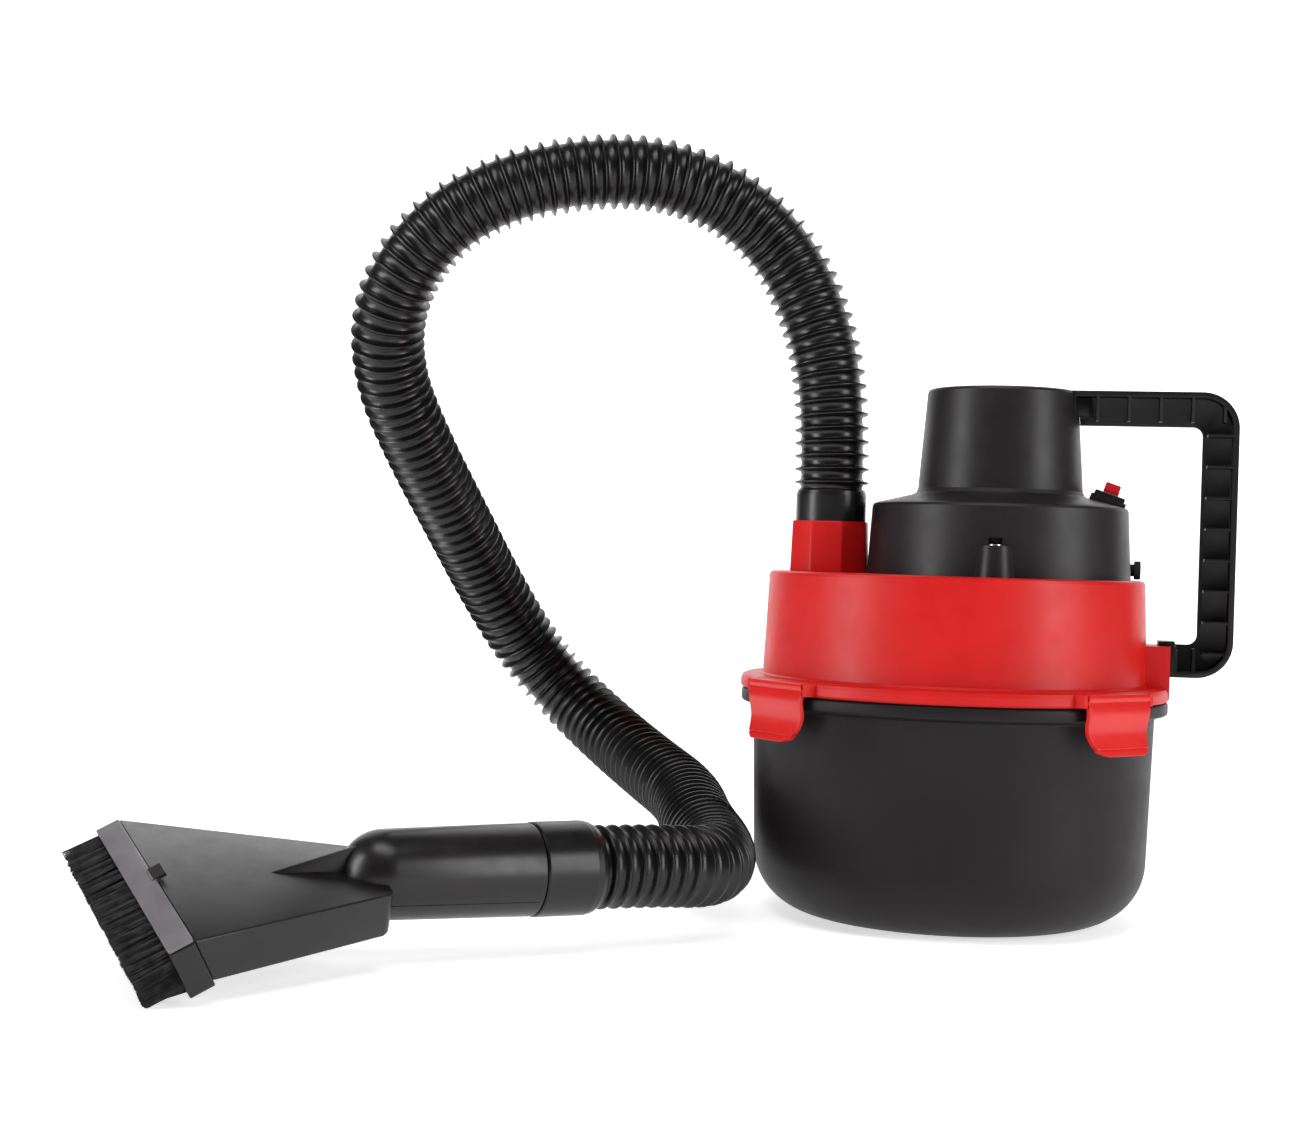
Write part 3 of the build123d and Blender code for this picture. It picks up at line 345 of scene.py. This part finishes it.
# %% [markdown]
# ## The corrugated hose
# The real hose is a blown tube with one thin rib every few millimetres. A displacement would
# blur such thin ribs, so the straight tube is spun from its real outline first, and then each
# ring of it is moved onto the hose's line.

# %% The corrugated hose
RIBS = 143
RIB = [(0.0, 13.3), (0.22, 13.35), (0.34, 13.9), (0.41, 15.3), (0.47, 15.95), (0.53, 15.95), (0.59, 15.3),
       (0.66, 13.9), (0.78, 13.35)]
pitch_m = hose_length / RIBS
outline = [(0.0, 0.0)]
for rib in range(RIBS):
    outline += [(radius, (rib + share) * pitch_m / MM) for share, radius in RIB]
outline += [(13.3, hose_length / MM), (0.0, hose_length / MM)]
hose_mesh = turned(outline, steps=36)


def line_frame(lengths):
    """Points on the hose's line at these lengths, with two side directions that don't twist."""
    places = np.stack([np.interp(lengths, travel, hose_line[:, k]) for k in range(3)], axis=1)
    ahead = np.gradient(places, axis=0)
    ahead /= np.linalg.norm(ahead, axis=1)[:, None]
    first = np.empty_like(ahead)
    current = np.array([0.0, 1.0, 0.0])
    for i, direction in enumerate(ahead):
        current = current - direction * (current @ direction)
        current /= np.linalg.norm(current)
        first[i] = current
    return places, first, np.cross(ahead, first)


grid = np.linspace(0, hose_length, 4000)
centres, first_side, second_side = line_frame(grid)
for vert in hose_mesh.verts:
    at = min(max(vert.co.z / hose_length, 0), 1) * (len(grid) - 1)
    i = int(round(at))
    bent = centres[i] + first_side[i] * vert.co.y + second_side[i] * -vert.co.x
    vert.co = Vector(bent)
bmesh.ops.recalc_face_normals(hose_mesh, faces=hose_mesh.faces)
hose = wear(piece(hose_mesh, "ribbed_hose", "hose", "hose", crease=60), hose_black)
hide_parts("hose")

# %% [markdown]
# ## The bucket
# The bucket is a turned shape: a flat foot with a shallow ring groove, a large round corner, a
# slightly tapered wall and a rolled rim. Spinning its outline again with more steps gives the
# smooth highlights that a polished mould leaves, and arcs replace the outline's corners.

# %% The bucket
def arc(centre, radius, start, end, count):
    """Points of (radius, height) along an arc, angles in degrees."""
    turns = [math.radians(start + (end - start) * i / count) for i in range(count + 1)]
    return [(centre[0] + radius * math.cos(t), centre[1] + radius * math.sin(t)) for t in turns]


bucket_outline = [(0, 0.8), (33.6, 0.8), (34.2, 0.0), (45.8, 0.0), (46.4, 0.8), (54.8, 0.8), (55.4, 0.02)]
bucket_outline += arc((56.0, 26.5), 26.5, -90, 0, 20)
bucket_outline += [(83.4, 56.0), (84.3, 86.2), (84.9, 87.3)]
bucket_outline += arc((88.4, 89.6), 1.2, -90, 0, 4) + arc((88.4, 92.5), 1.2, 0, 90, 4)
bucket_outline += [(82.2, 93.7), (80.3, 26.5)]
bucket_outline += arc((56.0, 26.5), 24.3, 0, -90, 16) + [(0, 2.2)]
bucket = turned(bucket_outline, steps=192)
wear(piece(bucket, "bucket", "tank", "tank", "tank"), tank_black)

# %% [markdown]
# ## The hose collar
# The lid keeps its frame shape. Its eight-sided hose collar gets a skin a tenth of a millimetre
# proud, with rounded edges, because each edge of the real collar shows as a bright line.

# %% The hose collar
COLLAR_X, COLLAR_FOOT, COLLAR_TOP = -54.0, 144.0, 165.75
SKIN = 0.1
flat_to_corner = 1 / math.cos(math.pi / 8)
collar = bmesh.new()
low_radius, high_radius = 16.2 * flat_to_corner + SKIN, 15.52 * flat_to_corner + SKIN
bmesh.ops.create_cone(collar, cap_ends=True, segments=8, radius1=low_radius * MM, radius2=high_radius * MM,
                      depth=(COLLAR_TOP - COLLAR_FOOT) * MM,
                      matrix=Matrix.Translation(Vector((COLLAR_X, 0, (COLLAR_TOP + COLLAR_FOOT) / 2)) * MM)
                      @ Matrix.Rotation(math.pi / 8, 4, "Z"))
top_face = max(collar.faces, key=lambda f: f.calc_center_median().z)
bottom_face = min(collar.faces, key=lambda f: f.calc_center_median().z)
bmesh.ops.delete(collar, geom=[bottom_face], context="FACES_ONLY")
bmesh.ops.inset_individual(collar, faces=[top_face], thickness=1.4 * MM)
bmesh.ops.translate(collar, verts=top_face.verts, vec=(0, 0, -0.8 * MM))
bmesh.ops.delete(collar, geom=[top_face], context="FACES_ONLY")
ease_edges(collar, 0.7, angle=20)
wear(piece(collar, "collar_skin", "head", "lid", crease=60), lid_red)

# %% [markdown]
# ## The latches
# A latch is a springy finger tab. From the hinge it bulges out, draws in at a waist under the
# bucket's rim, and flares to a lip with a pressed line that a fingertip finds. A grid is bent to
# that side view, its lower corners are drawn in, and solidify gives it the wall.

# %% The latches
TAB_SIDE = [(99.4, 90.4), (99.8, 91.4), (99.5, 92.5), (98.5, 93.1), (97.3, 92.9), (96.6, 92.3), (96.1, 92.4),
            (95.2, 92.9), (93.6, 93.4), (91.6, 93.4), (89.6, 93.0), (87.9, 92.6), (86.4, 92.4), (85.0, 92.3),
            (83.6, 92.4), (82.4, 92.6), (81.2, 92.8), (80.2, 93.1), (79.4, 93.3), (78.7, 93.5), (78.3, 93.2),
            (77.9, 93.5), (77.3, 93.8), (76.7, 94.0), (76.2, 94.1), (75.8, 94.2), (75.5, 94.2)]
TAB_HALF, TAB_FOOT, INNER_CORNER, OUTER_CORNER = 17.5, 75.3, 12.5, 4.0


def tab_half(z, corner):
    """Half width of the tab at this height: it narrows a little, then turns in round a corner."""
    half = TAB_HALF - 1.0 * max(96.0 - z, 0.0) / (96.0 - TAB_FOOT)
    if z > TAB_FOOT + corner:
        return half
    sunk = TAB_FOOT + corner - z
    return half - corner + math.sqrt(max(corner ** 2 - sunk ** 2, 0.0))


def latch_tab(name, angle, inner_side):
    """Bend a grid to the side view, with its large corner on the inner side, and turn it into place."""
    bm = bmesh.new()
    rows = len(TAB_SIDE)
    bmesh.ops.create_grid(bm, x_segments=24, y_segments=rows - 1, size=1.0)
    for vert in bm.verts:
        row = int(round((1 - vert.co.y) / 2 * (rows - 1)))
        z, out = TAB_SIDE[row]
        corner = INNER_CORNER if vert.co.x * inner_side > 0 else OUTER_CORNER
        vert.co = Vector((vert.co.x * tab_half(z, corner), out, z)) * MM
    a = math.radians(angle)
    turn = Matrix(((math.sin(a), math.cos(a), 0), (-math.cos(a), math.sin(a), 0), (0, 0, 1))).to_4x4()
    bmesh.ops.transform(bm, matrix=turn, verts=bm.verts)
    bmesh.ops.recalc_face_normals(bm, faces=bm.faces)
    bm.normal_update()
    outward = Vector((math.cos(a), math.sin(a), 0))
    if sum(f.normal.dot(outward) * f.calc_area() for f in bm.faces) < 0:
        bmesh.ops.reverse_faces(bm, faces=bm.faces)
    skin = bm.faces[:]
    bmesh.ops.solidify(bm, geom=skin, thickness=1.9 * MM)
    bmesh.ops.recalc_face_normals(bm, faces=bm.faces)
    ease_edges(bm, 0.5, angle=55, segments=4)
    return wear(piece(bm, f"tab_{name}", f"latch_{name}", "latch", f"latch_{name}", crease=50), latch_red)


for name, angle, inner_side in (("front_left", -137, -1), ("front_right", -43, 1), ("rear_right", 43, -1),
                                ("rear_left", 137, 1)):
    latch_tab(name, angle, inner_side)

# %% [markdown]
# ## The nozzle
# The nozzle is one moulding, but it is easiest to see as three shapes run into each other: a
# round grip tube with a domed end, a flat hollow fan that widens to the brush, and a thin fin
# that stiffens the step between them. Each is made on its own and given rounded edges.

# %% The grip tube
def lay_along_nozzle(bm):
    """Move a shape made along +Z, in metres, onto the nozzle's axis."""
    turn = Matrix((lean_axis, across_axis, ahead_axis)).transposed().to_4x4()
    bmesh.ops.transform(bm, matrix=Matrix.Translation(nozzle_tip * MM) @ turn, verts=bm.verts)
    bmesh.ops.recalc_face_normals(bm, faces=bm.faces)


DOME_S, DOME_R, SEAM_S, SEAM_R = -8.5, 16.4, -66.0, 17.3
DOME_STEPS = 16
grip_outline = [(0, -84.0), (15.6, -84.0), (15.95, -83.4), (15.95, SEAM_S), (16.7, SEAM_S), (17.15, -65.7),
                (SEAM_R, -65.0)]
for i in range(DOME_STEPS):
    t = math.pi / 2 * i / DOME_STEPS
    grip_outline.append((DOME_R * math.cos(t), DOME_S + DOME_R * math.sin(t)))
grip_outline.append((0, DOME_S + DOME_R))
grip = turned(grip_outline, steps=96)
lay_along_nozzle(grip)
wear(piece(grip, "grip_tube", "nozzle", "nozzle", "nozzle_body"), nozzle_black)

# %% [markdown]
# The fan starts as a cube whose corners are moved onto the nozzle's directions. Its mouth leans
# with the brush, so the mouth face is inset and pushed inwards to leave a thin wall, and the
# rear corners get a larger round than the rims.

# %% The fan
FAN_TOP, FAN_LOW, FAN_REAR, FAN_WIDE = 2.2, -13.6, -5.0, 73.0
REAR_HALF, MOUTH_HALF = 22.4, 54.3
HOLLOW_DEPTH = 60


def fan_half(x):
    """Half width of the fan at a distance along the nozzle."""
    return REAR_HALF + (MOUTH_HALF - REAR_HALF) * (x - FAN_REAR) / (FAN_WIDE - FAN_REAR)


def mouth_x(z):
    """Where the leaning mouth cuts the fan at this height."""
    return 74.3 - 4.45 * math.cos(tilt) + (z + 7.7 - 4.45 * math.sin(tilt)) * math.tan(tilt)


fan = bmesh.new()
bmesh.ops.create_cube(fan, size=2.0)
for vert in fan.verts:
    z = FAN_TOP if vert.co.z > 0 else FAN_LOW
    x = mouth_x(z) if vert.co.x > 0 else FAN_REAR
    vert.co = from_nozzle(x, math.copysign(fan_half(x), vert.co.y), z) * MM
bmesh.ops.recalc_face_normals(fan, faces=fan.faces)
mouth = max(fan.faces, key=lambda f: f.calc_center_median().dot(ahead_axis))
bmesh.ops.inset_individual(fan, faces=[mouth], thickness=1.8 * MM)
hollow = bmesh.ops.extrude_discrete_faces(fan, faces=[mouth])["faces"][0]
for vert in hollow.verts:
    local = vert.co / MM - nozzle_tip
    x, y, z = local.dot(ahead_axis) - HOLLOW_DEPTH, local.dot(across_axis), local.dot(lean_axis)
    vert.co = from_nozzle(x, y * fan_half(x) / fan_half(x + HOLLOW_DEPTH), z) * MM
fan.normal_update()


def fan_edge_kind(edge):
    """Tell a rear corner of the fan from a rim, and leave out the edges of the hollow."""
    middle = (edge.verts[0].co + edge.verts[1].co) / 2 / MM - nozzle_tip
    x, z = middle.dot(ahead_axis), middle.dot(lean_axis)
    heights = [(v.co / MM - nozzle_tip).dot(lean_axis) for v in edge.verts]
    inside = all(abs(height - (FAN_TOP + FAN_LOW) / 2) < 7.5 for height in heights)
    if inside or len(edge.link_faces) != 2:
        return None
    upright = abs((edge.verts[0].co - edge.verts[1].co).normalized().dot(lean_axis)) > 0.9
    if x < FAN_REAR + 0.5 and (upright or z < FAN_LOW + 0.5):
        return "rear"
    return "rim"


rear_edges = [e for e in fan.edges if fan_edge_kind(e) == "rear"]
bmesh.ops.bevel(fan, geom=rear_edges, offset=3.4 * MM, affect="EDGES", segments=6, profile=0.5, material=-1,
                clamp_overlap=True)
rim_edges = [e for e in fan.edges if fan_edge_kind(e) == "rim" and e.calc_face_angle(0) > math.radians(50)]
bmesh.ops.bevel(fan, geom=rim_edges, offset=0.7 * MM, affect="EDGES", segments=3, profile=0.5, material=-1,
                clamp_overlap=True)
wear(piece(fan, "nozzle_fan", "nozzle", "nozzle", crease=35), nozzle_black)

# %% [markdown]
# The fin is a slim wedge. It stands on the fan and runs up to the domed end of the tube.

# %% The fin
fin = bmesh.new()
bmesh.ops.create_cube(fin, size=2.0)
for vert in fin.verts:
    high, front, near = vert.co.z > 0, vert.co.x > 0, vert.co.y > 0
    x = 33.5 if front else 0.0
    z = (FAN_TOP + 0.15 if front else 12.2) if high else FAN_TOP - 0.4
    thick = (0.35 if front else 0.8) if high else (0.7 if front else 1.5)
    vert.co = from_nozzle(x, thick if near else -thick, z) * MM
bmesh.ops.recalc_face_normals(fin, faces=fin.faces)
ease_edges(fin, 0.3, angle=40)
wear(piece(fin, "nozzle_fin", "nozzle", "nozzle", crease=50), nozzle_black)

# %% [markdown]
# ## The mould's parting line
# The two halves of the mould meet low along the grip, and leave a hair-thin raised line there.
# A slim bar sunk almost wholly into the wall is enough to catch the light as that line does.

# %% The mould's parting line
for side_name, turn_angle in (("near", -112), ("far", 112)):
    seam = bmesh.new()
    bmesh.ops.create_cube(seam, size=1.0)
    for vert in seam.verts:
        s_along = -64.0 if vert.co.x < 0 else -6.0
        radius = (SEAM_R if vert.co.x < 0 else DOME_R) + (0.12 if vert.co.z > 0 else -0.6)
        t = math.radians(turn_angle) + (0.011 if vert.co.y > 0 else -0.011)
        vert.co = from_nozzle(s_along, -radius * math.sin(t), radius * math.cos(t)) * MM
    bmesh.ops.recalc_face_normals(seam, faces=seam.faces)
    wear(piece(seam, f"grip_seam_{side_name}", "nozzle", "nozzle"), nozzle_black)

# %% [markdown]
# ## The brush frame and the handle
# Both are straight-edged mouldings whose shapes are already right, so their parts are copied,
# merged and given rounded outer edges. The brush frame is ribbed on its broad faces only, and those
# faces are painted a pale grey as a painted highlight of the top light. Its ends and its clip are as dark as
# the nozzle, so it carries two materials.

# %% The brush frame
def on_frame_outside(p):
    local = p - brush_back
    across, high = abs(local.dot(across_axis)), abs(local.dot(brush_up))
    return (across > 53.0 or high > 9.0) and local.dot(brush_ahead) > -1.0


brush_frame = copy_of("brush_frame")
ease_edges(brush_frame, 0.5, where=on_frame_outside, angle=40, clamp=False)
frame_piece = piece(brush_frame, "brush_frame_moulding", "brush", "brush_frame", "brush_frame", crease=35)
wear(frame_piece, frame_painted_highlight_grey)
frame_piece.data.materials.append(nozzle_black)
for face in frame_piece.data.polygons:
    # faces chosen by which way they face: the broad faces get the pale grey as a painted highlight of the
    # top light, the ends and clip keep the dark finish
    broad = abs(face.normal.dot(brush_up)) > 0.7 and (face.center / MM - brush_back).dot(brush_ahead) > -0.3
    face.material_index = 0 if broad else 1

# %% [markdown]
# The handle is a channel with cross ribs. Two segments are enough for its small edge rounding.

# %% The handle
handle = copy_of("handle")
ease_edges(handle, 0.3, angle=50, segments=2)
wear(piece(handle, "handle_moulding", "head", "handle", "handle", crease=35), handle_black)

# %% [markdown]
# ## The bristles
# The brush is a closed ring of nylon tufts round the mouth. Real bristles splay a little and are
# trimmed unevenly. Each bristle is a thin three-sided cone, so thousands of them stay light, and
# a fixed random seed gives the same brush every time.

# %% The bristles
random.seed(7)
FRAME_D, BRISTLE = 8.9, 14.4
strands = bmesh.new()


def strand(foot, tip, thick):
    """One bristle: a thin cone from foot to tip, in millimetres."""
    along = (tip - foot)
    spin = along.to_track_quat("Z", "Y").to_matrix().to_4x4()
    place = Matrix.Translation((foot + tip) / 2 * MM) @ spin
    bmesh.ops.create_cone(strands, cap_ends=True, cap_tris=True, segments=3, radius1=thick * MM,
                          radius2=thick * 0.55 * MM, depth=along.length * MM, matrix=place)


def tuft(across, high, lean_across, lean_high):
    """A bunch of bristles: tight at the foot, splayed at the tip, with its own length."""
    tuft_reach = BRISTLE - random.uniform(0.0, 0.9)
    for _ in range(46):
        turn, spread_out = random.uniform(0, math.tau), math.sqrt(random.random())
        off_across, off_high = math.cos(turn) * spread_out, math.sin(turn) * spread_out
        foot = (across + 1.35 * off_across, high + 1.35 * off_high)
        reach = tuft_reach - min(abs(random.gauss(0, 0.8)), 2.5)
        tip = from_brush(across + 2.3 * off_across + lean_across + random.uniform(-0.25, 0.25),
                         high + 1.7 * off_high + lean_high + random.uniform(-0.25, 0.25), FRAME_D + reach)
        if tip.z < 0.5:
            tip = tip + brush_up * ((0.5 - tip.z) / brush_up.z)
        strand(from_brush(foot[0], foot[1], FRAME_D - 1.5), tip, 0.21)


PITCH, FIRST_TUFT = 5.3, -50.3
tufts = 0
for high, lean, shift in ((7.3, 0.35, 0.0), (4.5, 0.1, 0.5), (-4.5, -0.1, 0.5), (-7.3, -0.35, 0.0)):
    for k in range(20):
        tuft(FIRST_TUFT + PITCH * (k + shift), high, random.uniform(-0.35, 0.35), lean)
        tufts += 1
for side_sign in (-1, 1):
    for across in (49.6, 52.2):
        for k in range(5):
            tuft(side_sign * across, -5.2 + 2.6 * k, side_sign * 0.3, 0)
            tufts += 1
wear(piece(strands, "bristle_tufts", "brush", "bristle", "bristles", crease=80), bristle_black)
print("tufts:", tufts)

# %% [markdown]
# ## Floor and light
# A white sweep stands under and behind the object. Two tall soft boxes at the sides draw the
# long pale bands on the black plastic, and a soft overhead light fills the top.

# %% Floor and light
def card(name, size, place, face, glow):
    """A flat sheet of the studio, with its own pale paper."""
    bm = bmesh.new()
    bmesh.ops.create_grid(bm, x_segments=2, y_segments=2, size=size)
    data = bpy.data.meshes.new(name)
    bm.to_mesh(data)
    bm.free()
    made = bpy.data.objects.new(name, data)
    bpy.context.scene.collection.objects.link(made)
    made.location = place
    made.rotation_euler = Vector(face).to_track_quat("Z", "Y").to_euler()
    paper, tree, shader = new_material(name + "_paper")
    shader.inputs["Base Color"].default_value = (0.9, 0.9, 0.9, 1)
    shader.inputs["Roughness"].default_value = 1.0
    shader.inputs["Specular IOR Level"].default_value = 0.0
    shader.inputs["Emission Color"].default_value = (1, 1, 1, 1)
    shader.inputs["Emission Strength"].default_value = glow
    wear(made, paper)
    return made


card("floor", 4.0, (0, 0, -0.0002), (0, 0, 1), 0.62)
card("backdrop", 3.0, (0.0, 2.6, 1.0), (0, -1, 0), 0.95)

world = bpy.data.worlds.new("studio")
world.use_nodes = True
world.node_tree.nodes["Background"].inputs["Color"].default_value = (1, 1, 1, 1)
world.node_tree.nodes["Background"].inputs["Strength"].default_value = 0.10
bpy.context.scene.world = world


def soft_box(name, place, aim, size, power):
    light = bpy.data.objects.new(name, bpy.data.lights.new(name, "AREA"))
    light.data.shape = "RECTANGLE"
    light.data.size, light.data.size_y = size
    light.data.energy = power
    light.location = place
    light.rotation_euler = (Vector(aim) - Vector(place)).to_track_quat("-Z", "Y").to_euler()
    bpy.context.scene.collection.objects.link(light)
    return light


soft_box("left_box", (-1.3, -0.75, 0.5), (-0.05, 0, 0.12), (0.45, 1.0), 13)
soft_box("right_box", (1.25, -0.6, 0.5), (0.02, 0, 0.12), (0.45, 1.0), 12)
soft_box("top_box", (-0.1, -0.5, 1.35), (-0.05, -0.05, 0.1), (1.0, 0.5), 8)
bpy.context.scene.view_settings.view_transform = "Standard"
print("lights:", len(bpy.data.lights))
